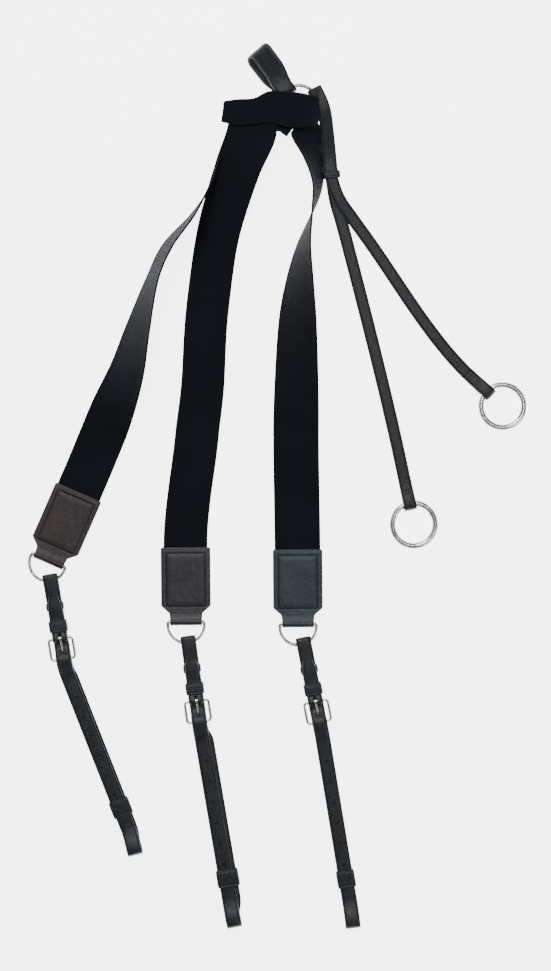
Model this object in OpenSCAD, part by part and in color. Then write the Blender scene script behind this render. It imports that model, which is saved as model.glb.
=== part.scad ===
// Three-strap elastic breastplate with a running martingale fork, laid out flat. Millimetres, +Z up.
// The straps run towards -Y from a ring at the crown, and every piece rests on the plane z = 0.

/* [Elastic straps] */
// Width of the elastic webbing
elastic_w = 48; // [40:1:50]
// Thickness of the elastic webbing
elastic_t = 2; // [1.6:0.1:2]

/* [Leather patches] */
// Width of a patch
patch_w = 52; // [51:1:56]
// Length of a patch without its tab
patch_l = 70; // [66:1:74]
// Width of the tab that holds the D-ring
tab_w = 33.4; // [28:0.2:33.4]
// Thickness of the patch leather
leather_t = 1.8; // [1.4:0.1:1.8]

/* [Billet straps] */
// Width of a billet strap
belt_w = 16; // [12:1:16]
// Thickness of a billet strap
belt_t = 2; // [1.6:0.1:2]
// Distance between billet holes
hole_pitch = 22; // [20:1:24]

/* [Metal] */
// Wire radius of a D-ring
dee_r = 1.8; // [1.5:0.1:1.8]
// Outer diameter of a martingale ring
ring_od = 51; // [49:1:51]
// Wire radius of a martingale ring
ring_r = 3.1; // [2.6:0.1:3.1]
// Wire radius of a buckle frame
frame_r = 1.4; // [1.1:0.1:1.4]

/* [Fork] */
// Width of a branch strap
branch_w = 13.5; // [11:0.5:13.5]
// Width of the yoke strap
yoke_w = 14.6; // [12:0.2:14.6]

/* [Hidden] */
LEFT = 0;
GIRTH = 1;
RIGHT = 2;
WEBBING = "#15161c";
LEATHER = "#1b1f26";
STEEL = "#c8c8cc";
$fn = 48;
wire_z = 4.3;
sit = 1.4;

// Each strap: bend line, top of its patch, patch heading, where its billet sits on the bow, billet headings, side step.
bend_at = [[-179.3, 57.8], [-81.9, 57.8], [21.5, 57.8]];
bend_heading = [-22.5, -5, 0];
patch_at = [[-206.3, -6.8], [-94.4, -64.8], [23.1, -67]];
patch_heading = [-23.6, 0.5, 0.4];
bow_heading = [9.7, 7.9, 19];
belt_heading = [[9.7, 21.5, 15], [7.9, 9.7, 11.5], [11.3, 9.4, 7]];
side_step = [2, 4, 0];

// D-ring, measured along a patch from its top edge.
dee_w = 42;
bow_r = dee_w / 2 - dee_r;
bar_x = patch_l + 8;
bow_x = bar_x + 3;

// Billet strap, measured along it from the wire of the D-ring.
fixed_x = 27;
sliding_x = 48;
heel_x = 61;
outer_x = 83;
straight_x = 105;
bottom_x = 250;
bend_x = 272;
fold_x = 296;
plain_z = 2.9;
billet_z = plain_z + belt_t + 0.1;
chape_z = billet_z + belt_t + 0.1;
heel_r = frame_r + 0.1 + belt_t / 2;
heel_z = chape_z + heel_r;
wrap_r = dee_r + 0.3 + belt_t / 2;
fold_r = 5;

// Crown ring.
crown = [23.6, 394.8, 16];
crown_R = 22.5;
crown_r = 2;

// Puts the origin under the middle of the whole outline.
module laid() {
    translate([-1.75, 2.3, 0]) children();
}

function unit(v) = v / norm(v);
function ease(t) = t < 0 ? 0 : t > 1 ? 1 : t * t * (3 - 2 * t);
function along(h) = [sin(h), -cos(h)];
function spline(a, b, c, d, t) =
    0.5 * (2 * b + (c - a) * t + (2 * a - 5 * b + 4 * c - d) * t * t + (3 * b - a - 3 * c + d) * t * t * t);
function smooth(s, n) = let (last = len(s) - 1) concat(
    [for (i = [0 : last - 1]) for (k = [0 : n - 1])
        spline(s[max(i - 1, 0)], s[i], s[i + 1], s[min(i + 2, last)], k / n)],
    [s[last]]
);
function arc(x, z, r, from, to, n) = [for (k = [0 : n]) let (a = from + (to - from) * k / n) [x + r * cos(a), z + r * sin(a)]];
function bezier(p, t) =
    pow(1 - t, 3) * p[0] + 3 * t * pow(1 - t, 2) * p[1] + 3 * t * t * (1 - t) * p[2] + pow(t, 3) * p[3];

// A strap swept along stations of [x, y, z, width, tilt from flat, plan angle across the strap].
module strap(s, t) {
    last = len(s) - 1;
    points = [for (i = [0 : last]) let (
        p = [s[i][0], s[i][1], s[i][2]],
        a = s[max(i - 1, 0)],
        b = s[min(i + 1, last)],
        go = unit([b[0] - a[0], b[1] - a[1], b[2] - a[2]]),
        side = [cos(s[i][4]) * cos(s[i][5]), cos(s[i][4]) * sin(s[i][5]), sin(s[i][4])] * s[i][3] / 2,
        up = unit(cross(go, side)) * t / 2
    ) each [p + side + up, p - side + up, p - side - up, p + side - up]];
    walls = [for (i = [0 : last - 1]) for (k = [0 : 3]) let (
        a = 4 * i + k,
        b = 4 * i + (k + 1) % 4
    ) each [[a, a + 4, b + 4], [a, b + 4, b]]];
    ends = [[0, 1, 2], [0, 2, 3], [4 * last + 2, 4 * last + 1, 4 * last], [4 * last + 3, 4 * last + 2, 4 * last]];
    polyhedron(points, concat(walls, ends), convexity = 6);
}

// Side view outlines [distance, height] laid along a straight line in plan, as strap stations.
function run(profile, at, h, w) = [for (p = profile) [at[0] + p[0] * sin(h), at[1] - p[0] * cos(h), p[1], w, 0, h]];

module on_patch(i) {
    translate([patch_at[i][0], patch_at[i][1], 0]) rotate([0, 0, patch_heading[i] - 90]) children();
}

// Where a billet strap leaves the bow of its D-ring.
function bow_centre(i) = patch_at[i] + bow_x * along(patch_heading[i]);
function belt_at(i) = bow_centre(i) + bow_r * along(bow_heading[i]);

// Heading and place along a billet strap, which bends sideways at the buckle and near the fold.
function heading(i, x) = belt_heading[i][0]
    + (belt_heading[i][1] - belt_heading[i][0]) * ease((x - 88) / (straight_x - 88))
    + (belt_heading[i][2] - belt_heading[i][1]) * ease((x - bend_x) / 18);
function place(i, x) =
    x <= 88 ? belt_at(i) + x * along(belt_heading[i][0])
    : x <= straight_x ? place(i, 88) + sum_steps(i, 88, x)
    : x <= bend_x ? place(i, straight_x) + (x - straight_x) * along(belt_heading[i][1])
    : place(i, bend_x) + sum_steps(i, bend_x, x);
function sum_steps(i, a, b, k = 0, n = 8) = k == n ? [0, 0]
    : (b - a) / n * along(heading(i, a + (b - a) * (k + 0.5) / n)) + sum_steps(i, a, b, k + 1, n);

module on_belt(i, x) {
    translate([place(i, x)[0], place(i, x)[1], 0]) rotate([0, 0, heading(i, x) - 90]) children();
}

module rod_y(x, z, r, length) {
    translate([x, length / 2, z]) rotate([90, 0, 0]) cylinder(r = r, h = length);
}

// ---------------------------------------------------------------- crown and fork

module centre_ring() {
    laid() color(STEEL) translate(crown) rotate_extrude($fn = 96) translate([crown_R, 0]) circle(crown_r);
}

// A strap end folded round the crown ring at one angle of it, in plan looking outwards from the ring.
function ring_place(a, out) = [crown[0] + (crown_R + out) * cos(a), crown[1] + (crown_R + out) * sin(a)];
function ring_wrap(a, w, tail, n = 6) = let (r = crown_r + 0.4 + elastic_t / 2) concat(
    [for (k = [0 : n]) let (b = 90 + 180 * k / n)
        [each ring_place(a, -2 + r * cos(b)), crown[2] + r * sin(b), w, 0, a - 90]],
    [[each ring_place(a, tail), crown[2] - r, w, 0, a - 90]]
);

module hang_loop() {
    reach = 50;
    r = 7;
    outline = concat(
        [[-1.5, -5.6], [12, -6], [26, -6.6], [reach - r, -r]],
        [for (k = [1 : 7]) [reach - r + r * sin(22.5 * k), -r * cos(22.5 * k)]],
        [[reach - r, r], [26, 6.6], [12, 6], [-1.5, 5.6]],
        [for (k = [1 : 5]) [-1.5 - 5.6 * sin(30 * k), 5.6 * cos(30 * k)]],
        [[-1.5, -5.6]]
    );
    lean = 25;
    laid() color(LEATHER) translate([each ring_place(127, 0), crown[2]]) rotate([0, 0, 127])
        strap([for (p = outline) let (f = ease((p[0] - 2) / 22)) [
            p[0], -p[1] * sin(lean * f), p[1] * cos(lean * f) + f * 2, 20 + 4 * f, -lean * f, 90]], 2);
}

fork_left = [73.3, 261.5];
fork_right = [92.9, 263.6];
left_heading = 14.9;
right_heading = 36.3;
module fork_yoke() {
    laid() color(LEATHER) union() {
        strap(concat(
            smooth([
                [58, 329, 6.4, yoke_w, 0, 8], [56.5, 345, 7, yoke_w, 0, 4], [53, 376, 16, yoke_w, 8, 12],
                [50.5, 392, 22.5, yoke_w, 6, 38], [each ring_place(35, 4), 22, yoke_w, 4, 78]
            ], 4),
            [for (s = ring_wrap(35, yoke_w, 0)) [s[0], s[1], s[2], s[3], s[4], s[5] + 180]],
            [[each ring_place(35, 5), 12.4, yoke_w, 0, 125]]
        ), 2);
        strap(smooth([
            [58, 330, 6.4, yoke_w, 0, 8], [59.5, 318, 5, branch_w, 0, 8],
            [63, 298, 2.4, branch_w, 0, 12], [68.5, 279, 1.5, branch_w, 0, 15],
            [each fork_left - 1.3 * along(left_heading), sit, branch_w, 0, left_heading]], 4), 2);
        strap(smooth([
            [58, 331, 6.6, yoke_w, 0, 8], [60, 318, 6.4, branch_w, 0, 10],
            [67, 300, 5, branch_w, 0, 24], [79.5, 282, 2.6, branch_w, 0, 35],
            [each fork_right - 1.3 * along(right_heading), sit, branch_w, 0, right_heading]], 4), 2);
    }
}

module yoke_keeper() {
    laid() color(LEATHER) translate([58.6, 325.5, 0]) rotate([0, 0, 8 - 90]) difference() {
        translate([-3.5, -yoke_w / 2 - 2.1, 2.2]) cube([7, yoke_w + 4.2, 7.6]);
        translate([-5, -yoke_w / 2 - 0.6, 3.4]) cube([10, yoke_w + 1.2, 5.2]);
    }
}

ring_R = ring_od / 2 - ring_r;
ring_z = 2.5 + ring_r;
left_curve = [fork_left, [97, 171], [119.5, 83], [135.8, 3.7]];
right_curve = [fork_right, [127, 217], [161, 155.5], [204.6, 114.3]];
left_end = 11.6;
right_end = 46.8;

// A branch strap: bend line, plan curve, then the end that is folded through its ring and sewn back.
module branch(curve, h0, h1) {
    steps = 14;
    end = curve[3];
    h_t = [for (k = [0 : steps]) let (
        a = bezier(curve, max(k - 0.5, 0) / steps),
        b = bezier(curve, min(k + 0.5, steps) / steps)
    ) atan2(b[0] - a[0], a[1] - b[1])];
    sewn = run(concat(
        [[3, sit]],
        [[12, 1.2], [22, 1.2]],
        arc(24.2, 6.1, 4.9, -90, 90, 8),
        [[20, 10.8], [14, 9], [6, 3.9], [-4, 3.6]]
    ), end, h1, branch_w);
    laid() color(LEATHER) strap(concat(
        [for (k = [0 : steps]) let (p = bezier(curve, k / steps)) [p[0], p[1], sit, branch_w, 0, k == 0 ? h0 : h_t[k]]],
        sewn
    ), 2);
}

function ring_hold(curve, h) = curve[3] + 23 * along(h);
module martingale_ring(curve, h) {
    centre = ring_hold(curve, h) + ring_R * along(h);
    laid() color(STEEL) translate([centre[0], centre[1], ring_z])
        rotate_extrude($fn = 96) translate([ring_R, 0]) circle(ring_r);
}

module left_branch() { branch(left_curve, left_heading, left_end); }
module right_branch() { branch(right_curve, right_heading, right_end); }
module left_martingale_ring() { martingale_ring(left_curve, left_end); }
module right_martingale_ring() { martingale_ring(right_curve, right_end); }

// ---------------------------------------------------------------- elastic straps

// Straps that stand on edge keep that edge on the ground.
function grounded(s) = [for (a = s) [a[0], a[1], max(a[2], a[3] / 2 * abs(sin(a[4])) + sit), a[3], a[4], a[5]]];
crown_left = grounded(smooth([
    [each bend_at[LEFT] - 1.3 * along(-22.5), sit, elastic_w, 0, -22.5], [-170.6, 79.8, 2, elastic_w, 12, -21],
    [-154.9, 120.8, 12, elastic_w, 36, -17], [-143.9, 161.7, 19, elastic_w, 53, -16],
    [-128.6, 213.2, 24.5, elastic_w, 70, -20], [-112.4, 248.9, 25.4, elastic_w, 73, -28],
    [-88, 281.4, 25, 44, 80, -36], [-72, 315, 19, 28, 88, -24], [-65.6, 343, 12, 19, 88, -14],
    [-56, 364, 9, 15, 45, -26], [-34, 377, 9.6, 14, 5, -65], [-8, 377, 12.6, 14, 0, -88]
], 5));
crown_girth = smooth([
    [each bend_at[GIRTH] - 1.3 * along(-5), sit, elastic_w - 4, 0, -5], [-76.5, 104, sit, elastic_w - 4, 0, -5],
    [-73.5, 161.7, sit, elastic_w - 3, 0, -3.5], [-69.8, 199.5, 1.6, elastic_w - 3, 0, -6],
    [-63, 248.9, 3, elastic_w - 3, 0, -10], [-54.6, 284.6, 8, elastic_w - 2, 0, -16],
    [-39.4, 330.8, 18, elastic_w, 0, -20], [-29, 371.7, 22, elastic_w, 0, -16], [-35.5, 399, 23, 46, 0, 4]
], 5);
girth_fold = smooth([
    [-55, 389, 22.8, 22, 0, 82], [-40, 388, 25.4, 27, 0, 86], [-22, 389, 26, 27, 0, 92],
    [-10, 392, 24, 18, 0, 94], [each ring_place(186, 1), 20, 13, 0, 96]
], 4);
crown_right = grounded(smooth([
    [each bend_at[RIGHT] - 1.3 * along(0), sit, elastic_w, 0, 0], [21.8, 98.7, 4, elastic_w, 14, 0],
    [22.8, 167, 14.6, elastic_w, 33, 0], [24.7, 207.9, 20.2, elastic_w, 51, -4],
    [29, 248.9, 24.4, elastic_w, 72, -8], [36.5, 284.6, 24.6, 46, 90, -12], [40, 312.9, 19.6, 36, 102, -6],
    [35, 346, 14.4, 26, 128, 14], [31, 362, 14.6, 18, 158, 6], [each ring_place(287, 1), 19.4, 13, 180, 17]
], 5));

module left_elastic_upper() {
    wrap = [for (s = ring_wrap(234, 13, 10)) [s[0], s[1], 2 * crown[2] - s[2], s[3], 0, s[5] + 180]];
    laid() color(WEBBING) strap(concat(crown_left, [[each ring_place(234, 4), 12.6, 13, 0, 324 - 360]], wrap), elastic_t);
}
module girth_elastic_upper() {
    laid() color(WEBBING) union() {
        strap(crown_girth, elastic_t);
        strap(concat(girth_fold, ring_wrap(186, 13, 14)), elastic_t);
    }
}
module right_elastic_upper() {
    wrap = [for (s = ring_wrap(287, 13, 10)) [s[0], s[1], s[2], s[3], 180, s[5] - 180]];
    laid() color(WEBBING) strap(concat(crown_right, wrap), elastic_t);
}

// The lower half: from the bend line, 1.3 mm clear of the upper half, into the patch.
module lower_elastic(i, w) {
    a = bend_at[i];
    b = patch_at[i];
    d = norm(b - a);
    curve = [a, a + d / 3 * along(bend_heading[i]), b - d / 3 * along(patch_heading[i]), b];
    steps = 12;
    laid() color(WEBBING) strap(concat(
        [for (k = [0 : steps]) let (
            p = bezier(curve, k / steps),
            h = bend_heading[i] + (patch_heading[i] - bend_heading[i]) * ease(k / steps)
        ) [p[0], p[1], sit + (2.8 - sit) * ease((k / steps - 0.5) / 0.4), w, 0, h]],
        run([[20, 2.8], [58, 2.8]], b, patch_heading[i], w)
    ), elastic_t - 0.2);
}
module left_elastic_lower() { lower_elastic(LEFT, elastic_w); }
module girth_elastic_lower() { lower_elastic(GIRTH, elastic_w - 2); }
module right_elastic_lower() { lower_elastic(RIGHT, elastic_w); }

// ---------------------------------------------------------------- patches and D-rings

// Leather folded round the bar of the D-ring: side view outline cut to the plan outline.
module patch(i) {
    fold = dee_r + 0.2 + leather_t;
    top = 2 * leather_t + 2;
    laid() color(LEATHER) on_patch(i) difference() {
        intersection() {
            translate([0, patch_w / 2, 0]) rotate([90, 0, 0]) linear_extrude(patch_w) union() {
                polygon([
                    [0, 0], [patch_l - 4, 0], [bar_x, wire_z - fold], [bar_x, wire_z + fold],
                    [patch_l - 4, top], [0, top]
                ]);
                translate([bar_x, wire_z]) circle(fold);
            }
            linear_extrude(3 * fold) polygon([
                [0, -patch_w / 2 + 2], [1.5, -patch_w / 2 + 0.5], [patch_l - 9, -patch_w / 2],
                [patch_l, -tab_w / 2], [patch_l + 20, -tab_w / 2], [patch_l + 20, tab_w / 2],
                [patch_l, tab_w / 2], [patch_l - 9, patch_w / 2], [1.5, patch_w / 2 - 0.5], [0, patch_w / 2 - 2]
            ]);
        }
        translate([-1, -elastic_w / 2 - 0.3, leather_t - 0.1]) cube([62, elastic_w + 0.6, 2.2]);
        rod_y(bar_x, wire_z, dee_r + 0.2, patch_w + 2);
    }
}

module dee(i) {
    corner = 2.4;
    half = bow_r;
    laid() color(STEEL) on_patch(i) translate([bar_x, 0, wire_z]) union() {
        rod_y(0, 0, dee_r, 2 * (half - corner));
        for (s = [-1, 1]) {
            translate([corner, s * (half - corner), 0]) rotate([0, 0, s > 0 ? 90 : 180])
                rotate_extrude(angle = 90) translate([corner, 0]) circle(dee_r);
            translate([corner, s * half, 0]) rotate([0, 90, 0]) cylinder(r = dee_r, h = bow_x - bar_x - corner);
        }
        translate([bow_x - bar_x, 0, 0]) rotate([0, 0, -90])
            rotate_extrude(angle = 180, $fn = 96) translate([half, 0]) circle(dee_r);
    }
}

module left_patch() { patch(LEFT); }
module girth_patch() { patch(GIRTH); }
module right_patch() { patch(RIGHT); }
module left_dee() { dee(LEFT); }
module girth_dee() { dee(GIRTH); }
module right_dee() { dee(RIGHT); }

// ---------------------------------------------------------------- billet straps and buckles

function evenly(a, z, b, n) = [for (k = [0 : n]) [a + (b - a) * k / n, z]];
belt_profile = concat(
    [[17, 10.1], [22, 10.35], [32, 10.35], [37, 9.3], [55, 9.3], [58, heel_z + heel_r - 0.7]],
    arc(heel_x, heel_z, heel_r, 90, -90, 8),
    [[40, chape_z], [12, chape_z], [4, 7.3]],
    arc(-3.4, wire_z, wrap_r, 90, 270, 8),
    [[6, 1.6], [13, plain_z], [88, plain_z], [92, plain_z], [96, plain_z], [100, plain_z]],
    [[105, plain_z], [190, plain_z], [272, plain_z], [279, 2.4], [288, 1.3]],
    arc(fold_x, 1.1 + fold_r, fold_r, -90, 90, 8),
    [[289, 10.4], [282, 7.4], [274, 5.2], [bend_x - 4, billet_z], [190, billet_z], [105, billet_z]],
    [[100, 5.5], [94, 8.6], [89, heel_z + heel_r - 1], [outer_x + 1.5, heel_z + heel_r]],
    [[outer_x - 1.5, heel_z + heel_r - 0.1], [78.5, 10.4], [74, 6.7], [71, 5.3], [68, billet_z], [40, billet_z], [14, billet_z]]
);

// Stations of the profile that belong to the plain run.
plain_first = 27;
plain_last = 37;
// How far the plain run lies to one side of the billet run, at a place along the strap.
function step_at(i, k, x) = k < plain_first || k > plain_last ? 0 : side_step[i] * ease((x - 90) / 14) * ease((290 - x) / 16);

module billet(i) {
    stations = [for (k = [0 : len(belt_profile) - 1]) let (
        x = belt_profile[k][0],
        h = heading(i, x),
        p = place(i, x),
        s = step_at(i, k, x),
        w = k == 0 ? belt_w - 5 : belt_w
    ) [p[0] + s * cos(h), p[1] + s * sin(h), belt_profile[k][1], w, 0, h]];
    laid() color(LEATHER) difference() {
        strap(stations, belt_t);
        on_belt(i, 0) translate([heel_x - 5.5, -1.7, 6]) cube([10, 3.4, 12]);
        on_belt(i, 0) translate([0, 1.5, 0]) rotate([90, 0, 0]) linear_extrude(3)
            polygon([[64, 8.7], [64, 5.9], [80, 4.2], [80, 8.7]]);
        for (k = [0 : 5])
            on_belt(i, 125 + hole_pitch * k) translate([0, 0, billet_z - 2]) cylinder(r = 1.7, h = 4);
    }
}

// A buckle frame of round wire with rounded corners, flat above the strap.
module buckle(i) {
    half = 12.6;
    corner = 3.2;
    mid = (heel_x + outer_x) / 2;
    reach = (outer_x - heel_x) / 2;
    laid() color(STEEL) on_belt(i, 0) translate([mid, 0, heel_z]) union() {
        for (s = [-1, 1]) {
            rod_y(s * reach, 0, frame_r, 2 * (half - corner));
            translate([corner - reach, s * half, 0]) rotate([0, 90, 0])
                cylinder(r = frame_r, h = 2 * (reach - corner));
        }
        for (a = [0, 90, 180, 270])
            translate([(a == 0 || a == 270 ? 1 : -1) * (reach - corner), (a < 180 ? 1 : -1) * (half - corner), 0])
                rotate([0, 0, a]) rotate_extrude(angle = 90) translate([corner, 0]) circle(frame_r);
    }
}

// The tongue: an eye round the heel bar and a prong that reaches under the outer bar.
module tongue(i) {
    prong_r = 0.9;
    eye = frame_r + 0.1;
    low = heel_z - frame_r - prong_r - 0.08;
    laid() color(STEEL) on_belt(i, 0) union() {
        translate([heel_x, 0, heel_z]) rotate([90, 0, 0]) difference() {
            cylinder(r = eye + 1.4, h = 2.4, center = true);
            cylinder(r = eye, h = 4, center = true);
        }
        translate([heel_x + 1.6, 0, low]) rotate([0, 90, 0]) cylinder(r = prong_r, h = outer_x - heel_x + 1.4);
    }
}

// A leather loop round the strap between two heights.
module keeper(i, x, w, low, high, wall, step) {
    gap = 0.25;
    laid() color(LEATHER) on_belt(i, x) difference() {
        translate([-w / 2, -belt_w / 2 - gap - wall, low - gap - wall])
            cube([w, belt_w + step + 2 * (gap + wall), high - low + 2 * (gap + wall)]);
        translate([-w / 2 - 1, -belt_w / 2 - gap, low - gap]) cube([w + 2, belt_w + step + 2 * gap, high - low + 2 * gap]);
    }
}
under = plain_z - belt_t / 2;
module fixed_keeper(i) { keeper(i, fixed_x, 8, under, chape_z + belt_t / 2 - 0.15, 1, 0); }
module sliding_keeper(i) { keeper(i, sliding_x, 12, under, 9.3 + belt_t / 2, 1.3, 0); }
module bottom_keeper(i) { keeper(i, bottom_x, 18, under, billet_z + belt_t / 2, 1.4, side_step[i]); }

module left_billet() { billet(LEFT); }
module left_buckle() { buckle(LEFT); }
module left_tongue() { tongue(LEFT); }
module left_fixed_keeper() { fixed_keeper(LEFT); }
module left_sliding_keeper() { sliding_keeper(LEFT); }
module left_bottom_keeper() { bottom_keeper(LEFT); }
module girth_billet() { billet(GIRTH); }
module girth_buckle() { buckle(GIRTH); }
module girth_tongue() { tongue(GIRTH); }
module girth_fixed_keeper() { fixed_keeper(GIRTH); }
module girth_sliding_keeper() { sliding_keeper(GIRTH); }
module girth_bottom_keeper() { bottom_keeper(GIRTH); }
module right_billet() { billet(RIGHT); }
module right_buckle() { buckle(RIGHT); }
module right_tongue() { tongue(RIGHT); }
module right_fixed_keeper() { fixed_keeper(RIGHT); }
module right_sliding_keeper() { sliding_keeper(RIGHT); }
module right_bottom_keeper() { bottom_keeper(RIGHT); }

centre_ring();
hang_loop();
fork_yoke();
yoke_keeper();
left_branch();
right_branch();
left_martingale_ring();
right_martingale_ring();
left_elastic_upper();
left_elastic_lower();
left_patch();
left_dee();
left_billet();
left_buckle();
left_tongue();
left_fixed_keeper();
left_sliding_keeper();
left_bottom_keeper();
girth_elastic_upper();
girth_elastic_lower();
girth_patch();
girth_dee();
girth_billet();
girth_buckle();
girth_tongue();
girth_fixed_keeper();
girth_sliding_keeper();
girth_bottom_keeper();
right_elastic_upper();
right_elastic_lower();
right_patch();
right_dee();
right_billet();
right_buckle();
right_tongue();
right_fixed_keeper();
right_sliding_keeper();
right_bottom_keeper();
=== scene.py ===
import math
import random

import bmesh
import bpy
from mathutils import Matrix, Vector

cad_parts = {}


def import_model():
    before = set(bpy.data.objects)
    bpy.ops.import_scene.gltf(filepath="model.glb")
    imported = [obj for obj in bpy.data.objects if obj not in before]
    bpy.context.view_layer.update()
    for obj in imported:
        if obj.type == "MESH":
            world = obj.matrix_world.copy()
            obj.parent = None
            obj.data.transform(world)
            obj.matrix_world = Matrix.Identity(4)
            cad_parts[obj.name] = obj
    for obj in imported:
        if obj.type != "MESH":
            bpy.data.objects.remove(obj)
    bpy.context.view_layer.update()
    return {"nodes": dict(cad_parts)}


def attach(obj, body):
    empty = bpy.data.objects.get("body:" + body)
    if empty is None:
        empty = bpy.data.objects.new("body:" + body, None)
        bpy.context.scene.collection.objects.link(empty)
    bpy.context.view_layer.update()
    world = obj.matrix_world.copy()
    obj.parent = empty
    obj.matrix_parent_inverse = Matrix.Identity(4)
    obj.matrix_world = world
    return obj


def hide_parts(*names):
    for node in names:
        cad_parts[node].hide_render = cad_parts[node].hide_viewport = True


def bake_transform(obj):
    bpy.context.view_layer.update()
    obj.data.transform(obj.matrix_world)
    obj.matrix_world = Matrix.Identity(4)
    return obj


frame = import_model()

# ---------------------------------------------------------------- sizes, in millimetres as in the CAD model
MM = 0.001
ORIGIN = Vector((-1.75, 2.3, 0))
ELASTIC_W, GIRTH_W, ELASTIC_T = 48, 46, 2
PATCH_W, PATCH_L, TAB_W = 52, 70, 33.4
BELT_W, BELT_T, HOLE_PITCH = 16, 2, 22
DEE_R, FRAME_R = 1.8, 1.4
BRANCH_W, YOKE_W, LEATHER_T = 13.5, 14.6, 2
WIRE_Z, SIT = 4.3, 1.4
STRAPS = ("left", "girth", "right")
BEND_AT = ((-179.3, 57.8), (-81.9, 57.8), (21.5, 57.8))
BEND_HEADING = (-22.5, -5, 0)
PATCH_AT = ((-206.3, -6.8), (-94.4, -64.8), (23.1, -67))
PATCH_HEADING = (-23.6, 0.5, 0.4)
BOW_HEADING = (9.7, 7.9, 19)
BELT_HEADING = ((9.7, 21.5, 15), (7.9, 9.7, 11.5), (11.3, 9.4, 7))
SIDE_STEP = (2, 4, 0)
BOW_R = 19.2
BAR_X = PATCH_L + 8
BOW_X = BAR_X + 3
# Places along a belt, from its end at the D-ring: keepers, buckle, sideways turns, holes and fold
FIXED_X, SLIDING_X, BOTTOM_X = 27, 48, 250
HEEL_X, OUTER_X = 61, 83
TURN_X, STRAIGHT_X, BEND_X, BEND_RUN = 88, 105, 272, 18
HOLE_X, HOLE_R, HOLES = 125, 1.7, 6
FOLD_X = 296
PLAIN_Z = 2.9
BILLET_Z = PLAIN_Z + BELT_T + 0.1
CHAPE_Z = BILLET_Z + BELT_T + 0.1
HEEL_R = FRAME_R + 0.1 + BELT_T / 2
HEEL_Z = CHAPE_Z + HEEL_R
WRAP_R = DEE_R + 0.3 + BELT_T / 2
FOLD_R = 5
CROWN = (23.6, 394.8, 16)
CROWN_R, CROWN_WIRE = 22.5, 2


# ---------------------------------------------------------------- small maths
def ease(t):
    t = min(max(t, 0), 1)
    return t * t * (3 - 2 * t)


def along(h):
    return Vector((math.sin(math.radians(h)), -math.cos(math.radians(h))))


def across(h):
    return Vector((math.cos(math.radians(h)), math.sin(math.radians(h))))


def spline(a, b, c, d, t):
    return [
        0.5 * (2 * q + (r - p) * t + (2 * p - 5 * q + 4 * r - s) * t * t + (3 * q - p - 3 * r + s) * t**3)
        for p, q, r, s in zip(a, b, c, d)
    ]


def smooth(s, n):
    last = len(s) - 1
    out = [
        spline(s[max(i - 1, 0)], s[i], s[i + 1], s[min(i + 2, last)], k / n)
        for i in range(last)
        for k in range(n)
    ]
    return out + [list(s[last])]


def arc(x, z, r, a, b, n):
    angles = [math.radians(a + (b - a) * k / n) for k in range(n + 1)]
    return [(x + r * math.cos(v), z + r * math.sin(v)) for v in angles]


def bezier(p, t):
    k = ((1 - t) ** 3, 3 * t * (1 - t) ** 2, 3 * t * t * (1 - t), t**3)
    return sum((w * Vector(v) for w, v in zip(k, p)), Vector((0, 0)))


# ---------------------------------------------------------------- materials
class Nodes:
    """A short way to write a node tree."""

    def __init__(self, name):
        self.mat = bpy.data.materials.new(name)
        self.mat.use_nodes = True
        self.tree = self.mat.node_tree
        self.tree.nodes.clear()
        self.out = self.add("OutputMaterial")
        self.bsdf = self.add("BsdfPrincipled")
        self.link(self.bsdf.outputs[0], self.out.inputs[0])

    def add(self, kind, **values):
        node = self.tree.nodes.new("ShaderNode" + kind)
        for key, value in values.items():
            setattr(node, key, value)
        return node

    def link(self, a, b):
        self.tree.links.new(a, b)

    def math(self, operation, a, b=None):
        node = self.add("Math", operation=operation)
        for socket, value in zip(node.inputs, (a, b)):
            if value is None:
                continue
            if isinstance(value, (int, float)):
                socket.default_value = value
            else:
                self.link(value, socket)
        return node.outputs[0]

    def noise(self, vector, scale, detail=4, roughness=0.55):
        node = self.add("TexNoise")
        node.inputs["Scale"].default_value = scale
        node.inputs["Detail"].default_value = detail
        node.inputs["Roughness"].default_value = roughness
        self.link(vector, node.inputs["Vector"])
        return node.outputs["Fac"]

    def ramp(self, value, *stops):
        """Two stops, each (place, colour)."""
        node = self.add("ValToRGB")
        for element, (place, colour) in zip(node.color_ramp.elements, stops):
            element.position = place
            element.color = (*colour, 1)
        self.link(value, node.inputs[0])
        return node.outputs[0]

    def mix(self, factor, a, b):
        node = self.add("Mix", data_type="RGBA")
        for socket, value in ((node.inputs[0], factor), (node.inputs[6], a), (node.inputs[7], b)):
            if isinstance(value, (int, float)):
                socket.default_value = value
            elif isinstance(value, tuple):
                socket.default_value = (*value, 1)
            else:
                self.link(value, socket)
        return node.outputs[2]

    def range(self, value, low, high):
        node = self.add("MapRange")
        node.inputs["To Min"].default_value = low
        node.inputs["To Max"].default_value = high
        self.link(value, node.inputs["Value"])
        return node.outputs[0]

    def bump(self, height, distance, strength=1.0, under=None):
        node = self.add("Bump")
        node.inputs["Strength"].default_value = strength
        node.inputs["Distance"].default_value = distance
        self.link(height, node.inputs["Height"])
        if under is not None:
            self.link(under, node.inputs["Normal"])
        return node.outputs[0]

    def set(self, **values):
        for key, value in values.items():
            socket = self.bsdf.inputs[key.replace("_", " ")]
            if hasattr(value, "links") or hasattr(value, "is_linked"):
                self.link(value, socket)
            else:
                socket.default_value = value


RIB_PITCH, WARP_PITCH = 0.00125, 0.0011


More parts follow.
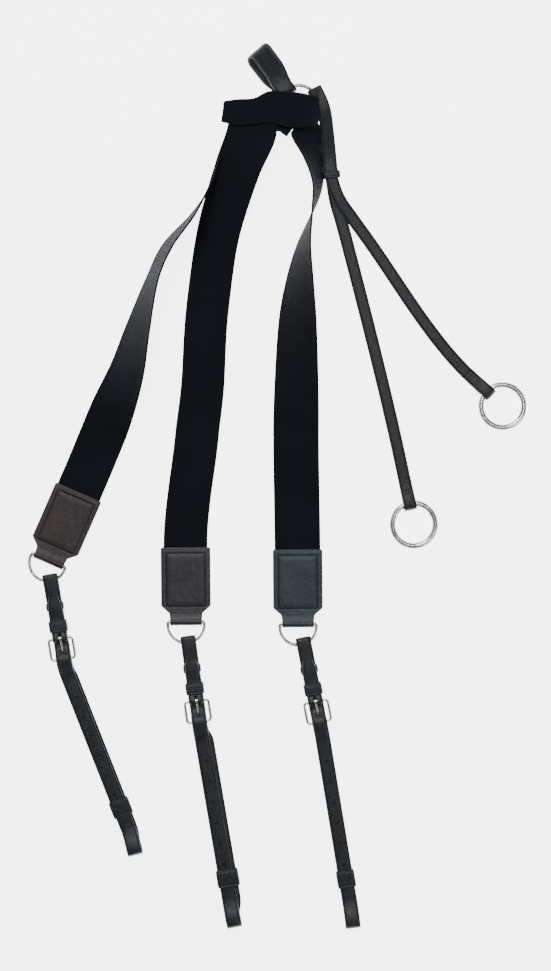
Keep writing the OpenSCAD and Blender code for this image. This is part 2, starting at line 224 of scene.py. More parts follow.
def elastic_material():
    n = Nodes("woven_elastic")
    strap = n.add("Attribute", attribute_name="strap")
    split = n.add("SeparateXYZ")
    n.link(strap.outputs["Vector"], split.inputs[0])
    place = n.add("TexCoord").outputs["Object"]
    wander = n.math("MULTIPLY", n.noise(place, 90, 2), 0.0004)
    rib_place = n.math("ADD", split.outputs[1], wander)
    ribs = n.math("SINE", n.math("MULTIPLY", rib_place, 2 * math.pi / RIB_PITCH))
    warp_place = n.math("ADD", split.outputs[0], wander)
    warp = n.math("SINE", n.math("MULTIPLY", warp_place, 2 * math.pi / WARP_PITCH))
    weave = n.math("MULTIPLY", ribs, warp)
    weave01 = n.math("MULTIPLY_ADD", weave, 0.5)
    weave01.node.inputs[2].default_value = 0.5
    fuzz = n.noise(place, 2600, 3)
    height = n.math("ADD", weave01, n.math("MULTIPLY", fuzz, 0.6))
    patches = n.noise(place, 14, 4)
    base = n.ramp(patches, (0.3, (0.0016, 0.0021, 0.0042)), (0.7, (0.0036, 0.0046, 0.0085)))
    lint = n.ramp(n.noise(place, 900, 2, 0.4), (0.66, (0, 0, 0)), (0.74, (1, 1, 1)))
    base = n.mix(weave01, base, n.mix(0.45, base, (0.008, 0.0095, 0.015)))
    base = n.mix(n.math("MULTIPLY", lint, 0.18), base, (0.024, 0.026, 0.034))
    n.set(Base_Color=base, Roughness=n.range(fuzz, 0.72, 0.92), Normal=n.bump(height, 0.0003, 0.7))
    n.set(Sheen_Weight=0.03, Sheen_Roughness=0.45, Sheen_Tint=(0.5, 0.53, 0.62, 1), Specular_IOR_Level=0.1)
    return n.mat


def leather_material(name, dark, light, wear_and_sheen, shine, pores=950):
    n = Nodes(name)
    place = n.add("TexCoord").outputs["Object"]
    strap = n.add("Attribute", attribute_name="strap")
    split = n.add("SeparateXYZ")
    n.link(strap.outputs["Vector"], split.inputs[0])
    edge = split.outputs[2]
    blotch = n.noise(place, 38, 5, 0.6)
    base = n.ramp(blotch, (0.32, dark), (0.68, light))
    # The third strap mark lightens the colour: real wear on the burnished edges, and on the patches also a
    # painted highlight along the border
    base = n.mix(n.math("MULTIPLY", edge, 0.75), base, wear_and_sheen)
    cells = n.add("TexVoronoi", feature="DISTANCE_TO_EDGE")
    cells.inputs["Scale"].default_value = pores
    n.link(place, cells.inputs["Vector"])
    grain = n.math("MINIMUM", n.math("MULTIPLY", cells.outputs["Distance"], 5), 1)
    creases = n.noise(place, 260, 6, 0.65)
    first = n.bump(grain, 0.00012, 0.55)
    fine = n.noise(place, 1500, 3)
    rough = n.math("ADD", n.range(blotch, shine - 0.05, shine + 0.1), n.math("MULTIPLY", fine, 0.07))
    # Painted shade: the valleys of the crease bump are darkened toward the dark tone
    base = n.mix(n.math("MULTIPLY", n.ramp(creases, (0.35, (1, 1, 1)), (0.5, (0, 0, 0))), 0.35), base, dark)
    n.set(Base_Color=base, Roughness=rough, Normal=n.bump(creases, 0.00035, 0.5, first))
    n.set(Specular_IOR_Level=0.32, Coat_Weight=0.04, Coat_Roughness=0.3)
    return n.mat


def steel_material():
    n = Nodes("polished_steel")
    place = n.add("TexCoord").outputs["Object"]
    cloud = n.noise(place, 120, 5)
    scratch = n.noise(place, 1400, 2, 0.8)
    tint = n.ramp(cloud, (0.35, (0.3, 0.29, 0.28)), (0.7, (0.66, 0.65, 0.63)))
    rough = n.math("ADD", n.range(cloud, 0.13, 0.26), n.math("MULTIPLY", scratch, 0.06))
    n.set(Base_Color=tint, Roughness=rough, Metallic=1.0, Normal=n.bump(scratch, 0.00003, 0.35))
    return n.mat


def thread_material():
    n = Nodes("waxed_thread")
    place = n.add("TexCoord").outputs["Object"]
    twist = n.noise(place, 2400, 2)
    base = n.ramp(twist, (0.35, (0.004, 0.005, 0.008)), (0.65, (0.016, 0.018, 0.024)))
    n.set(Base_Color=base, Roughness=n.range(twist, 0.5, 0.7), Normal=n.bump(twist, 0.0002, 0.6))
    return n.mat


ELASTIC = elastic_material()
# Each leather: dark and light blotches, the tone of worn edges and of the painted highlight on the patch
# borders, roughness, and pores per metre
LEATHER = leather_material(
    "bridle_leather", (0.0022, 0.0034, 0.0055), (0.0062, 0.0095, 0.0145), (0.018, 0.025, 0.034), 0.32)
CROWN_LEATHER = leather_material(
    "fork_leather", (0.0018, 0.0026, 0.0042), (0.0045, 0.0065, 0.0098), (0.012, 0.016, 0.021), 0.4)
# The patch leathers are one near-black leather; their brown-purple, grey-violet and teal tints are painted
# sheen, one per patch
SHEEN_TINTED_PATCH_LEATHERS = (
    leather_material("patch_leather_left", (0.011, 0.0068, 0.008), (0.027, 0.0155, 0.0155),
                     (0.026, 0.026, 0.032), 0.34, 700),
    leather_material("patch_leather_girth", (0.0085, 0.0085, 0.0125), (0.021, 0.019, 0.026),
                     (0.034, 0.04, 0.054), 0.33, 700),
    leather_material("patch_leather_right", (0.0055, 0.012, 0.017), (0.0125, 0.026, 0.034),
                     (0.028, 0.042, 0.052), 0.32, 700),
)
STEEL = steel_material()
THREAD = thread_material()


# ---------------------------------------------------------------- mesh builders
def make(name, verts, faces, material, marks=None):
    """A mesh object from points in millimetres. marks hold (across, along, edge wear and painted highlight)
    for the materials.
    """
    mesh = bpy.data.meshes.new(name)
    mesh.from_pydata([(Vector(v) + ORIGIN) * MM for v in verts], [], faces)
    if marks:
        mesh.attributes.new("strap", "FLOAT_VECTOR", "POINT")
        flat = [c for m in marks for c in (m[0] * MM, m[1] * MM, m[2])]
        mesh.attributes["strap"].data.foreach_set("vector", flat)
    bm = bmesh.new()
    bm.from_mesh(mesh)
    bmesh.ops.recalc_face_normals(bm, faces=bm.faces)
    if bm.calc_volume(signed=True) < 0:
        bmesh.ops.reverse_faces(bm, faces=bm.faces)
    bm.to_mesh(mesh)
    bm.free()
    mesh.materials.append(material)
    mesh.polygons.foreach_set("use_smooth", [True] * len(mesh.polygons))
    mesh.set_sharp_from_angle(angle=math.radians(50))
    obj = bpy.data.objects.new(name, mesh)
    bpy.context.scene.collection.objects.link(obj)
    return obj


def join(objects, name):
    bpy.ops.object.select_all(action="DESELECT")
    for o in objects:
        o.select_set(True)
    bpy.context.view_layer.objects.active = objects[0]
    bpy.ops.object.join()
    objects[0].name = name
    return objects[0]


def leather_section(w, t):
    """Half-round edges and a creased line close to each edge: (across, up, worn edge) round the strap."""
    r, half, top = t * 0.42, w / 2, t / 2
    rows = []
    for face in (1, -1):
        line = [(half - r * 0.3, top - r * 0.3, 1), (half - r, top, 0.55), (half - 1.3, top - 0.02, 0.1),
                (half - 1.75, top - 0.28, 0), (half - 2.2, top + 0.02, 0.06), (half - 3.4, top + 0.1, 0)]
        flat = [(a, b * face, c) for a, b, c in line] + [(0, face * (top + 0.1), 0)]
        side = flat + [(-a, b, c) for a, b, c in reversed(flat[:-1])]
        rows.append(side if face == 1 else side[::-1])
    return [(half, 0, 1)] + rows[0] + [(-half, 0, 1)] + rows[1]


def elastic_section(w, t):
    """A flat woven band with thicker cord along both edges."""
    xs = [w / 2 - 0.35, w / 2 - 1.2, w / 2 - 2.3, w / 2 - 3, w / 3, w / 6, 0]
    up = [t * 0.32, t * 0.5, t * 0.48, t * 0.4, t * 0.42, t * 0.42, t * 0.42]
    half = list(zip(xs, up))
    top = half + [(-a, b) for a, b in reversed(half[:-1])]
    ring = [(w / 2, 0)] + top + [(-w / 2, 0)] + [(a, -b) for a, b in reversed(top)]
    return [(a, b, 0) for a, b in ring]


def tube_faces(ring, count, closed=False):
    """Faces between count rings of points, with both ends capped unless the tube closes on itself."""
    faces = []
    for i in range(count if closed else count - 1):
        a, b = i * ring, ((i + 1) % count) * ring
        faces += [(a + k, a + (k + 1) % ring, b + (k + 1) % ring, b + k) for k in range(ring)]
    if not closed:
        faces += [tuple(range(ring))[::-1], tuple(range((count - 1) * ring, count * ring))]
    return faces


def strap(name, stations, t, section, material, closed=False, slot="strap_leather"):
    """A strap swept along stations of (x, y, z, width, tilt from flat, plan angle across the strap)."""
    count = len(stations)
    verts, marks, travel = [], [], 0
    for i, s in enumerate(stations):
        p = Vector(s[:3])
        before = stations[(i - 1) % count if closed else max(i - 1, 0)]
        after = stations[(i + 1) % count if closed else min(i + 1, count - 1)]
        go = (Vector(after[:3]) - Vector(before[:3])).normalized()
        tilt, plan = math.radians(s[4]), math.radians(s[5])
        side = Vector((math.cos(tilt) * math.cos(plan), math.cos(tilt) * math.sin(plan), math.sin(tilt)))
        up = go.cross(side).normalized()
        if i:
            travel += (p - Vector(stations[i - 1][:3])).length
        for a, b, wear_and_sheen in section(s[3], t):
            verts.append(p + side * a + up * b)
            marks.append((a, travel, wear_and_sheen))
    faces = tube_faces(len(section(1, t)), count, closed)
    return make(name, verts, faces, material, marks)


def stitches(name, points, length=2.6, r=0.42, sides=6):
    """A row of thread capsules at (place, direction along the seam, up)."""
    verts, faces = [], []
    for p, go, up in points:
        go, up = Vector(go).normalized(), Vector(up).normalized()
        side = go.cross(up)
        start = len(verts)
        rows = [(-0.5, 0.35, -0.5), (-0.38, 0.9, 0), (0, 1, 0.28), (0.38, 0.9, 0), (0.5, 0.35, -0.5)]
        for f, k, lift in rows:
            for a in range(sides):
                v = math.radians(360 / sides * a)
                rise = up * (lift * r + math.sin(v) * r * k)
                verts.append(Vector(p) + go * f * length + rise + side * math.cos(v) * r * k)
        for q in range(len(rows) - 1):
            b = start + q * sides
            for a in range(sides):
                c = (a + 1) % sides
                faces.append((b + a, b + c, b + sides + c, b + sides + a))
        last = start + (len(rows) - 1) * sides
        faces.append(tuple(start + a for a in range(sides))[::-1])
        faces.append(tuple(last + a for a in range(sides)))
    return make(name, verts, faces, THREAD)


# ---------------------------------------------------------------- places along the straps
def bow_centre(i):
    return Vector(PATCH_AT[i]) + BOW_X * along(PATCH_HEADING[i])


def heading(i, x):
    first, second, third = BELT_HEADING[i]
    return (first + (second - first) * ease((x - TURN_X) / (STRAIGHT_X - TURN_X))
            + (third - second) * ease((x - BEND_X) / BEND_RUN))


def steps_between(i, a, b, n=8):
    middles = [a + (b - a) * (k + 0.5) / n for k in range(n)]
    return sum(((b - a) / n * along(heading(i, x)) for x in middles), Vector((0, 0)))


def place(i, x):
    if x <= TURN_X:
        return bow_centre(i) + BOW_R * along(BOW_HEADING[i]) + x * along(BELT_HEADING[i][0])
    if x <= STRAIGHT_X:
        return place(i, TURN_X) + steps_between(i, TURN_X, x)
    if x <= BEND_X:
        return place(i, STRAIGHT_X) + (x - STRAIGHT_X) * along(BELT_HEADING[i][1])
    return place(i, BEND_X) + steps_between(i, BEND_X, x)


def on_belt(i, x, side, z):
    h = heading(i, x)
    p = place(i, x) + side * across(h)
    return Vector((p.x, p.y, z))


def grounded(s):
    return [[a[0], a[1], max(a[2], a[3] / 2 * abs(math.sin(math.radians(a[4]))) + SIT), *a[3:]] for a in s]


def ring_place(a, out):
    v = math.radians(a)
    return (CROWN[0] + (CROWN_R + out) * math.cos(v), CROWN[1] + (CROWN_R + out) * math.sin(v))


def ring_wrap(a, w, tail, n=12):
    r = CROWN_WIRE + 0.4 + ELASTIC_T / 2
    rows = []
    for k in range(n + 1):
        b = math.radians(90 + 180 * k / n)
        rows.append([*ring_place(a, -2 + r * math.cos(b)), CROWN[2] + r * math.sin(b), w, 0, a - 90])
    return rows + [[*ring_place(a, tail), CROWN[2] - r, w, 0, a - 90]]


def world(p, z):
    return ((Vector((p[0], p[1], z)) + ORIGIN) * MM)[:]


# ---------------------------------------------------------------- elastic straps
def bend_start(i, gap=1.3):
    return Vector(BEND_AT[i]) - gap * along(BEND_HEADING[i])


# Stations of the crown, as in the CAD source, wider and closer together near the ring
N = 12
CROWN_LEFT = grounded(smooth([
    [*bend_start(0), SIT, 48, 0, -22.5], [-170.6, 79.8, 2, 48, 12, -21],
    [-154.9, 120.8, 12, 48, 36, -17], [-143.9, 161.7, 19, 48, 53, -16],
    [-128.6, 213.2, 24.5, 48, 70, -20], [-112.4, 248.9, 25.4, 48, 73, -28],
    [-86, 281.4, 25, 44, 80, -34], [-67, 315, 16, 28, 88, -24], [-57, 343, 10, 19, 88, -14],
    [-48, 364, 9, 15, 45, -26], [-32, 377, 9.6, 14, 5, -65], [-8, 377, 12.6, 14, 0, -88]], N))
CROWN_GIRTH = smooth([
    [*bend_start(1), SIT, 46, 0, -5], [-76.5, 104, SIT, 45.5, 0, -5],
    [-73.5, 161.7, SIT, 45, 0, -3.5], [-69.8, 199.5, 1.6, 45, 0, -6],
    [-63, 248.9, 3, 45, 0, -10], [-54.6, 284.6, 8, 46, 0, -16],
    [-39.4, 330.8, 18, 48, 0, -20], [-24, 371.7, 22, 52, 0, -14], [-31, 399, 23, 48, 0, 4]], N)
# The folded end of the girth elastic runs on over the centre ring as far as the yoke.
GIRTH_FOLD = smooth([
    [-55, 389, 22.8, 22, 0, 82], [-40, 388, 25.4, 27, 0, 86], [-22, 389, 26, 27, 0, 92],
    [-6, 393, 25.6, 33, 6, 92], [12, 391, 26.4, 36, 3, 88], [28, 389.5, 26.2, 36, -2, 84],
    [41, 388, 24.8, 31, -8, 78], [47, 386, 21.5, 24, -12, 72]], N)
CROWN_RIGHT = grounded(smooth([
    [*bend_start(2), SIT, 48, 0, 0], [21.8, 98.7, 4, 48, 14, 0],
    [22.8, 167, 14.6, 48, 33, 0], [24.7, 207.9, 20.2, 48, 51, -4],
    [29, 248.9, 24.4, 48, 72, -8], [38, 284.6, 24.6, 46, 90, -12], [43.5, 312.9, 19.6, 38, 106, -6],
    [40, 346, 14.4, 38, 132, 14], [34, 364, 17, 36, 162, 8], [*ring_place(287, 1), 20.6, 30, 180, 17]], N))


def lower_stations(i, w, steps=40):
    a, b = Vector(BEND_AT[i]), Vector(PATCH_AT[i])
    d = (b - a).length
    curve = (a, a + d / 3 * along(BEND_HEADING[i]), b - d / 3 * along(PATCH_HEADING[i]), b)
    rows = []
    for k in range(steps + 1):
        t = k / steps
        h = BEND_HEADING[i] + (PATCH_HEADING[i] - BEND_HEADING[i]) * ease(t)
        rows.append([*bezier(curve, t), SIT + (2.8 - SIT) * ease((t - 0.5) / 0.4), w, 0, h])
    for x in (20, 40, 58):
        rows.append([*(b + x * along(PATCH_HEADING[i])), 2.8, w, 0, PATCH_HEADING[i]])
    return rows


def elastic(i, upper, w):
    stations = upper[::-1] + lower_stations(i, w)
    return strap(f"{STRAPS[i]}_elastic", stations, ELASTIC_T, elastic_section, ELASTIC, slot="webbing")


left_wrap = [[a, b, 2 * CROWN[2] - z, w, 0, h + 180] for a, b, z, w, _, h in ring_wrap(234, 18, 10)]
right_wrap = [[a, b, z, w, 180, h - 180] for a, b, z, w, _, h in ring_wrap(287, 22, 10)]
left_upper = CROWN_LEFT + [[*ring_place(234, 4), 12.6, 13, 0, -36]] + left_wrap
right_upper = CROWN_RIGHT + right_wrap
elastics = [
    elastic(0, left_upper, ELASTIC_W),
    elastic(1, CROWN_GIRTH, GIRTH_W),
    elastic(2, right_upper, ELASTIC_W),
]
fold = strap("girth_crown_fold", GIRTH_FOLD, ELASTIC_T, elastic_section, ELASTIC, slot="webbing")
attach(fold, "root")
for i, piece in enumerate(elastics):
    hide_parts(STRAPS[i] + "_elastic_upper", STRAPS[i] + "_elastic_lower")
    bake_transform(piece)


# ---------------------------------------------------------------- leather patches
def outline_half(x):
    if x < 2:
        return PATCH_W / 2 - 2 + 2 * math.sqrt(max(0, 1 - (1 - x / 2) ** 2))
    if x < PATCH_L - 9:
        return PATCH_W / 2
    if x < PATCH_L:
        t = (x - PATCH_L + 9) / 9
        return PATCH_W / 2 + (TAB_W / 2 - PATCH_W / 2) * (t * 0.75 + 0.25 * ease(t))
    return TAB_W / 2


def patch(i):
    """Two layers of leather, stitched round a groove, whose tab folds over the bar of the D-ring."""
    rand = random.Random(31 + i)
    fold_out = DEE_R + 0.2 + 1.8
    top, groove_x, groove_y = 5.6, (6.5, 62), 20.3
    xs = [0, 0.25, 0.6] + [1 + 0.65 * k for k in range(106)]
    xs = [x for x in xs if x < BAR_X - 2.6]
    arcs = [BAR_X + fold_out * math.sin(math.radians(a)) for a in range(-42, 91, 6)]
    xs = [x for x in xs if x < arcs[0]] + arcs
    columns = 81
    wobble = [(rand.uniform(0.05, 0.16), rand.uniform(0, 6.28), rand.uniform(0, 6.28)) for _ in range(5)]

    def level(x):
        if x > arcs[0] - 1e-6:
            c = math.sqrt(max(0, fold_out**2 - (x - BAR_X) ** 2))
            return WIRE_Z + c, WIRE_Z - c
        t = ease((x - 62) / (arcs[0] - 62))
        c = math.sqrt(fold_out**2 - (arcs[0] - BAR_X) ** 2)
        return top + (WIRE_Z + c - top) * t, (WIRE_Z - c) * t

    def relief(x, y, half):
        edge = min(half - abs(y), x + 0.3 if x < 30 else 99)
        soft = 0.85 * max(0, 1 - edge / 1.7) ** 2
        out = max(groove_x[0] - x, x - groove_x[1], abs(y) - groove_y)
        line = 0.75 * math.exp(-((out / 0.62) ** 2)) if x < 68 else 0
        if out < 0:
            puff = 0.5 * min(1, -out / 5)
        else:
            puff = 0.22 * math.exp(-((out - 2) / 1.6) ** 2)
        uneven = sum(a * math.sin(0.09 * (k + 1) * x + p) * math.sin(0.11 * (k + 2) * y + q)
                     for k, (a, p, q) in enumerate(wobble)) * 0.22 * ease(edge / 4)
        tab_line = 0.3 * math.exp(-(((x - 69) / 0.8) ** 2)) if abs(y) < TAB_W / 2 + 3 else 0
        fade = 1 - 0.8 * ease((x - 66) / 6)
        return (puff + uneven) * fade - soft - line - tab_line

    h, at = PATCH_HEADING[i], Vector(PATCH_AT[i])
    verts, marks = [], []
    for x in xs:
        half, (zt, zb) = outline_half(x), level(x)
        zt = max(zt, zb + 0.02)
        ring = []
        for k in range(columns):
            y = half * math.sin(math.pi / 2 * (2 * k / (columns - 1) - 1) * 0.8) / math.sin(math.pi / 2 * 0.8)
            z = max(zt + relief(x, y, half), (zt + zb) / 2 + 0.01) if zt - zb > 1 else zt
            edge = half - abs(y)
            # Painted highlight: a lighter band on the raised border just outside the stitched groove, added
            # to the edge-wear mark
            painted_highlight_rim = 0.5 * math.exp(-((abs(y) - groove_y - 2) / 1.2) ** 2) * (x < 66)
            ring.append((y, z, max(0, 1 - edge / 1.6) * 0.9 + painted_highlight_rim))
        thick = zt - zb
        notch = 0.55 if x < 62 and thick > 4 else 0
        for f, inset in ((0.72, 0), (0.6, notch), (0.42, notch), (0.3, 0)):
            ring.append((half - inset - 0.02, zb + thick * f, 0.8))
        for k in range(columns // 8 + 1):
            y = half * (1 - 2 * k / (columns // 8))
            lift = 0.5 if abs(y) > half - 0.2 else 0
            ring.append((y * (1 - 0.01 * lift), zb + min(lift, thick * 0.2), 0.6 * lift))
        for f, inset in ((0.3, 0), (0.42, notch), (0.6, notch), (0.72, 0)):
            ring.append((-half + inset + 0.02, zb + thick * f, 0.8))
        p = at + x * along(h)
        for y, z, wear_and_sheen in ring:
            q = p + y * across(h)
            verts.append((q.x, q.y, z))
            marks.append((y, x, wear_and_sheen))
    faces = tube_faces(len(ring), len(xs))
    body = make(f"{STRAPS[i]}_patch_leather", verts, faces, SHEEN_TINTED_PATCH_LEATHERS[i], marks)
    rows = []
    pitch = 3.7

    def stitch(x, y, go_x, go_y):
        p = at + x * along(h) + y * across(h)
        go = go_x * along(h) + go_y * across(h)
        rows.append(((p.x, p.y, level(x)[0] - 0.38), (go.x, go.y, 0), (0, 0, 1)))

    for k in range(int((groove_x[1] - groove_x[0]) / pitch)):
        for s in (-1, 1):
            stitch(groove_x[0] + pitch * (k + 0.5), s * groove_y, 1, 0)
    for k in range(int(2 * groove_y / pitch)):
        for x in groove_x:
            stitch(x, -groove_y + 1.6 + pitch * (k + 0.25), 0, 1)
    seam = stitches(f"{STRAPS[i]}_patch_stitches", rows)
    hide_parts(STRAPS[i] + "_patch")
    for o in (body, seam):
        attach(o, STRAPS[i] + "_end")


for i in range(3):
    patch(i)


# ---------------------------------------------------------------- billet straps
def refine(points, gap=4):
    out = [points[0]]
    for a, b in zip(points, points[1:]):
        n = max(1, int(math.dist(a, b) / gap))
        out += [(a[0] + (b[0] - a[0]) * k / n, a[1] + (b[1] - a[1]) * k / n) for k in range(1, n + 1)]
    return out


def billet(i):
    """One strap, from its end near the buckle round the D-ring, then down, folded, and back up."""
    heel_top = HEEL_Z + HEEL_R
    chape = refine([(17, 10.1), (22, 10.35), (32, 10.35), (37, 9.3), (55, 9.3), (58, heel_top - 0.7)])
    chape += arc(HEEL_X, HEEL_Z, HEEL_R, 90, -90, 14)
    chape += refine([(56, CHAPE_Z), (40, CHAPE_Z), (12, CHAPE_Z), (4, 7.3)])
    chape += arc(-3.4, WIRE_Z, WRAP_R, 90, 270, 14)
    plain = refine([(6, 1.6), (13, PLAIN_Z), (TURN_X, PLAIN_Z), (STRAIGHT_X, PLAIN_Z), (BEND_X, PLAIN_Z),
                    (279, 2.4), (288, 1.3)])
    rest = arc(FOLD_X, 1.1 + FOLD_R, FOLD_R, -90, 90, 14)
    rest += refine([(289, 10.4), (282, 7.4), (274, 5.2), (BEND_X - 4, BILLET_Z), (190, BILLET_Z),
                    (STRAIGHT_X, BILLET_Z), (100, 5.5), (94, 8.6), (89, heel_top - 1),
                    (OUTER_X + 1.5, heel_top)], 3)
    rest += refine([(OUTER_X - 1.5, heel_top - 0.1), (78.5, 10.4), (74, 6.7), (71, 5.3), (68, BILLET_Z),
                    (14, BILLET_Z)], 3)
    rows = []
    for part, points in (("chape", chape), ("plain", plain), ("rest", rest)):
        for k, (x, z) in enumerate(points):
            step = SIDE_STEP[i] * ease((x - 90) / 14) * ease((290 - x) / 16) if part == "plain" else 0
            w = BELT_W
            if part == "chape" and k < 5:
                w = BELT_W * (0.42 + 0.58 * math.sqrt(1 - (1 - (k + 0.3) / 5.3) ** 2))
            left = len(points) - k
            if part == "rest" and left < 5:
                w = BELT_W * (0.3 + 0.7 * math.sqrt(1 - (1 - left / 5) ** 2))
            h = heading(i, x)
            p = place(i, x) + step * across(h)
            rows.append([p.x, p.y, z, w, 0, h])
    body = strap(f"{STRAPS[i]}_billet_strap", rows, BELT_T, leather_section, LEATHER)
    turn = Matrix.Rotation(math.radians(heading(i, HEEL_X) - 90), 4, "Z")
    holes = bmesh.new()
    for k in range(HOLES):
        spot = world(on_belt(i, HOLE_X + HOLE_PITCH * k, 0, 0), BILLET_Z)
        bmesh.ops.create_cone(holes, cap_ends=True, segments=20, radius1=HOLE_R * MM, radius2=HOLE_R * MM,
                              depth=2.6 * MM, matrix=Matrix.Translation(spot))
    # The slot for the tongue in the chape, and the hole that the tongue is in
    for x, z, size in ((HEEL_X - 0.5, 12, (0.010, 0.0034, 0.012, 1)), (72.5, 7, (0.013, 0.0030, 0.0035, 1))):
        spot = world(on_belt(i, x, 0, 0), z)
        bmesh.ops.create_cube(holes, size=1, matrix=Matrix.Translation(spot) @ turn @ Matrix.Diagonal(size))
    cutter_mesh = bpy.data.meshes.new("cutter")
    holes.to_mesh(cutter_mesh)
    holes.free()
    cutter = bpy.data.objects.new("cutter", cutter_mesh)
    bpy.context.scene.collection.objects.link(cutter)
    cut = body.modifiers.new("holes", "BOOLEAN")
    cut.object, cut.solver, cut.operation, cut.use_self = cutter, "EXACT", "DIFFERENCE", True
    bpy.context.view_layer.update()
    shaped = bpy.data.meshes.new_from_object(body.evaluated_get(bpy.context.evaluated_depsgraph_get()))
    body.modifiers.clear()
    body.data = shaped
    bpy.data.objects.remove(cutter)
    seam = []
    go = along(BELT_HEADING[i][0])
    for k in range(5):
        for s in (-1, 1):
            seam.append((on_belt(i, 36.8 + 3.9 * k, s * 5.4, 10.42), (go.x, go.y, 0), (0, 0, 1)))
    thread = stitches(f"{STRAPS[i]}_billet_stitches", seam)
    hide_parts(STRAPS[i] + "_billet")
    for o in (body, thread):
        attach(o, STRAPS[i] + "_belt")


def keeper(i, name, x, w, low, high, wall, step, body):
    """A loop of leather round the strap, with rounded corners."""
    gap = 0.25 + wall / 2
    y0, y1, z0, z1, r = -BELT_W / 2 - gap, BELT_W / 2 + step + gap, low - gap, high + gap, 1.1
    path = []
    corners = (y1 - r, z1 - r, 0), (y0 + r, z1 - r, 90), (y0 + r, z0 + r, 180), (y1 - r, z0 + r, 270)
    for cy, cz, a in corners:
        for k in range(5):
            v = math.radians(a + 22.5 * k)
            path.append((cy + r * math.cos(v), cz + r * math.sin(v)))
    dense = refine(path + path[:1], 2.5)[:-1]
    rows = []
    h = heading(i, x)
    for y, z in dense:
        p = on_belt(i, x, y, z)
        rows.append([p.x, p.y, p.z, w, 0, h - 90])
    piece = strap(f"{STRAPS[i]}_{name}", rows, wall, leather_section, LEATHER, closed=True)
    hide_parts(f"{STRAPS[i]}_{name.replace('_loop', '')}")
    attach(piece, body)


UNDER, BILLET_TOP = PLAIN_Z - BELT_T / 2, BILLET_Z + BELT_T / 2
for i, label in enumerate(STRAPS):
    billet(i)
    keeper(i, "fixed_keeper_loop", FIXED_X, 8, UNDER, CHAPE_Z + BELT_T / 2 - 0.15, 1, 0, label + "_belt")
    keeper(i, "sliding_keeper_loop", SLIDING_X, 12, UNDER, 9.3 + BELT_T / 2, 1.3, 0, label + "_slider")
    keeper(i, "bottom_keeper_loop", BOTTOM_X, 18, UNDER, BILLET_TOP, 1.4, SIDE_STEP[i], label + "_stop")


# ---------------------------------------------------------------- fork
FORK_LEFT, FORK_RIGHT, LEFT_H, RIGHT_H = (73.3, 261.5), (92.9, 263.6), 14.9, 36.3


def before(p, h, gap=1.3):
    q = Vector(p) - gap * along(h)
    return [q.x, q.y]


yoke_top = smooth([
    [58, 329, 6.4, YOKE_W, 0, 8], [56.5, 345, 7, YOKE_W, 0, 4], [53, 376, 16, YOKE_W, 8, 12],
    [50.5, 392, 22.5, YOKE_W, 6, 38], [*ring_place(35, 4), 22, YOKE_W, 4, 78]], 8)
yoke_top += [[*s[:5], s[5] + 180] for s in ring_wrap(35, YOKE_W, 0)]
yoke_top += [[*ring_place(35, 5), 12.4, YOKE_W, 0, 125]]
left_stub = smooth([
    [58, 330, 6.4, YOKE_W, 0, 8], [59.5, 318, 5, BRANCH_W, 0, 8], [63, 298, 2.4, BRANCH_W, 0, 12],
    [68.5, 279, 1.5, BRANCH_W, 0, 15], [*before(FORK_LEFT, LEFT_H, -0.3), SIT, BRANCH_W, 0, LEFT_H]], 8)
right_stub = smooth([
    [58, 331, 6.6, YOKE_W, 0, 8], [60, 318, 6.4, BRANCH_W, 0, 10], [67, 300, 5, BRANCH_W, 0, 24],
    [79.5, 282, 2.6, BRANCH_W, 0, 35], [*before(FORK_RIGHT, RIGHT_H, -0.3), SIT, BRANCH_W, 0, RIGHT_H]], 8)
yoke = join([
    strap("yoke_part", yoke_top, LEATHER_T, leather_section, CROWN_LEATHER),
    strap("yoke_left_stub", left_stub, LEATHER_T, leather_section, CROWN_LEATHER),
    strap("yoke_right_stub", right_stub, LEATHER_T, leather_section, CROWN_LEATHER)], "yoke_strap")
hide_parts("fork_yoke")
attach(yoke, "root")

yoke_loop = []
YOKE_KEEPER_AT, YOKE_KEEPER_H = (58.6, 325.5), 8
yoke_side = [(7.9, 2.8), (8.6, 3.6), (8.6, 8.4), (7.9, 9.2)]
yoke_side += [(-y, z) for y, z in reversed(yoke_side)]
for y, z in refine(yoke_side + yoke_side[:1], 3)[:-1]:
    p = Vector(YOKE_KEEPER_AT) + y * across(YOKE_KEEPER_H)
    yoke_loop.append([p.x, p.y, z, 7, 0, YOKE_KEEPER_H - 90])
yoke_keeper = strap("yoke_keeper_loop", yoke_loop, 1.1, leather_section, CROWN_LEATHER, closed=True)
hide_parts("yoke_keeper")
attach(yoke_keeper, "root")


def branch(label, curve, h0, h1):
    steps, rows = 60, []
    for k in range(steps + 1):
        a, b = bezier(curve, max(k - 0.5, 0) / steps), bezier(curve, min(k + 0.5, steps) / steps)
        h = math.degrees(math.atan2(b.x - a.x, a.y - b.y))
        rows.append([*bezier(curve, k / steps), SIT, BRANCH_W, 0, h if k else h0])
    end = refine([(3, SIT), (12, 1.2), (22, 1.2)]) + arc(24.2, 6.1, 4.9, -90, 90, 14)
    end += refine([(20, 10.8), (14, 9), (6, 3.9), (-4, 3.6)], 3)
    for x, z in end:
        p = Vector(curve[3]) + x * along(h1)
        rows.append([p.x, p.y, z, BRANCH_W, 0, h1])
    piece = strap(label + "_branch_strap", rows, LEATHER_T, leather_section, CROWN_LEATHER)
    go = along(h1)
    seam = []
    for k in range(3):
        for s in (-1, 1):
            p = Vector(curve[3]) + (-2.5 + 3.4 * k) * go + s * 4.4 * across(h1)
            seam.append(((p.x, p.y, 4.75 + 0.12 * k), (go.x, go.y, 0), (0, 0, 1)))
    thread = stitches(label + "_branch_stitches", seam)
    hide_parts(label + "_branch")
    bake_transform(piece)
    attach(thread, label + "_fork")


branch("left", (FORK_LEFT, (97, 171), (119.5, 83), (135.8, 3.7)), LEFT_H, 11.6)
branch("right", (FORK_RIGHT, (127, 217), (161, 155.5), (204.6, 114.3)), RIGHT_H, 46.8)


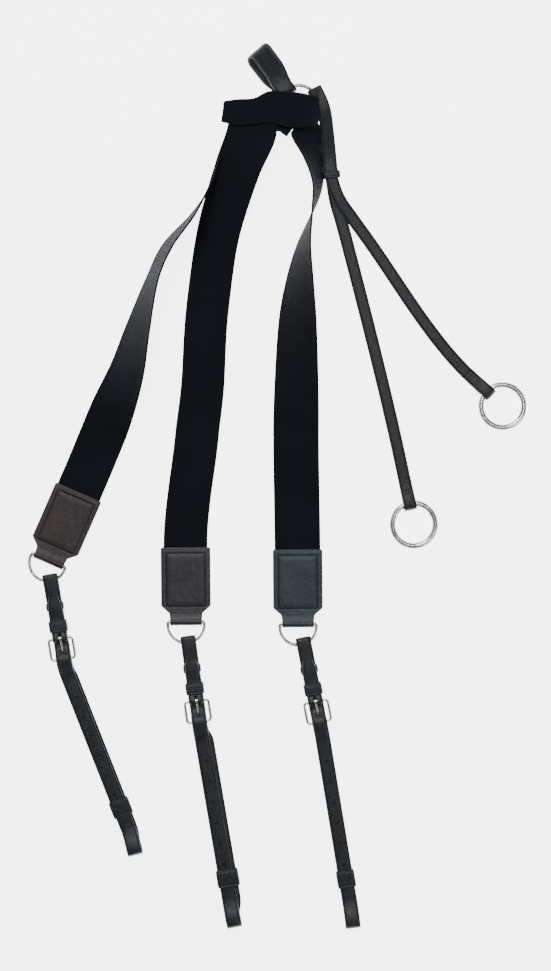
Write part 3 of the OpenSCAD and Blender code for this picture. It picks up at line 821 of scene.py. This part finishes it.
# ---------------------------------------------------------------- hang loop
def hang_loop():
    reach, r, lean, turn, root_x, root_r = 50, 7, 25, 127, -1.5, 5.6
    lower = [(root_x, -root_r), (12, -6), (26, -6.6), (reach - r, -r)]
    tip = [math.radians(15 * k) for k in range(1, 12)]
    root = [math.radians(20 * k) for k in range(1, 9)]
    side_path = lower + [(reach - r + r * math.sin(v), -r * math.cos(v)) for v in tip]
    side_path += [(x, -z) for x, z in reversed(lower)]
    side_path += [(root_x - root_r * math.sin(v), root_r * math.cos(v)) for v in root]
    at = ring_place(turn, 0)
    c, s = math.cos(math.radians(turn)), math.sin(math.radians(turn))
    rows = []
    for x, z in refine(side_path + side_path[:1], 4)[:-1]:
        f = ease((x - 2) / 22)
        v = math.radians(lean * f)
        out, up = -z * math.sin(v), z * math.cos(v) + f * 2
        spot = (at[0] + x * c - out * s, at[1] + x * s + out * c, CROWN[2] + up)
        rows.append([*spot, 20 + 4 * f, -lean * f, turn + 90])
    piece = strap("hang_loop_strap", rows, LEATHER_T, leather_section, LEATHER, closed=True)
    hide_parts("hang_loop")
    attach(piece, "hanger")


hang_loop()


# ---------------------------------------------------------------- steel
STEEL_NODES = ["centre_ring", "left_martingale_ring", "right_martingale_ring"]
STEEL_NODES += [f"{label}_{part}" for label in STRAPS for part in ("dee", "buckle", "tongue")]
for label in STEEL_NODES:
    metal = frame["nodes"][label]
    metal.data.materials.clear()
    metal.data.materials.append(STEEL)


# ---------------------------------------------------------------- floor, light and camera
def floor_material():
    n = Nodes("pale_floor")
    spot = n.add("TexCoord").outputs["Object"]
    tone = n.ramp(n.noise(spot, 3, 2), (0.3, (0.86, 0.86, 0.86)), (0.7, (0.9, 0.9, 0.9)))
    n.set(Base_Color=tone, Roughness=0.9)
    n.set(Emission_Color=(1, 1, 1, 1), Emission_Strength=4.5)
    return n.mat


bpy.ops.mesh.primitive_plane_add(size=12, location=(0, 0, 0))
floor = bpy.context.object
floor.name = "floor"
floor.data.materials.append(floor_material())


def area(name, at, size, power):
    data = bpy.data.lights.new(name, "AREA")
    data.shape, data.size, data.energy = "DISK", size, power
    lamp = bpy.data.objects.new(name, data)
    lamp.location = at
    lamp.rotation_euler = (-Vector(at)).to_track_quat("-Z", "Y").to_euler()
    bpy.context.scene.collection.objects.link(lamp)


area("key", (-0.5, 1.5, 2.2), 0.9, 46)
area("flash", (0.25, 0.3, 2.6), 0.3, 12)
area("fill", (1.7, -1.2, 2.0), 1.4, 16)
sky = bpy.data.worlds.new("studio")
sky.use_nodes = True
sky.node_tree.nodes["Background"].inputs[0].default_value = (1, 1, 1, 1)
sky.node_tree.nodes["Background"].inputs[1].default_value = 0.4
bpy.context.scene.world = sky

LENS, SENSOR, VIEW_LONG = 85, 36, 1.0195
camera_data = bpy.data.cameras.new("camera")
camera_data.lens, camera_data.sensor_width = LENS, SENSOR
camera = bpy.data.objects.new("camera", camera_data)
camera.location = (ORIGIN.x * MM, ORIGIN.y * MM, LENS / SENSOR * VIEW_LONG)
bpy.context.scene.collection.objects.link(camera)
bpy.context.scene.camera = camera

# ---------------------------------------------------------------- update the scene
bpy.context.view_layer.update()
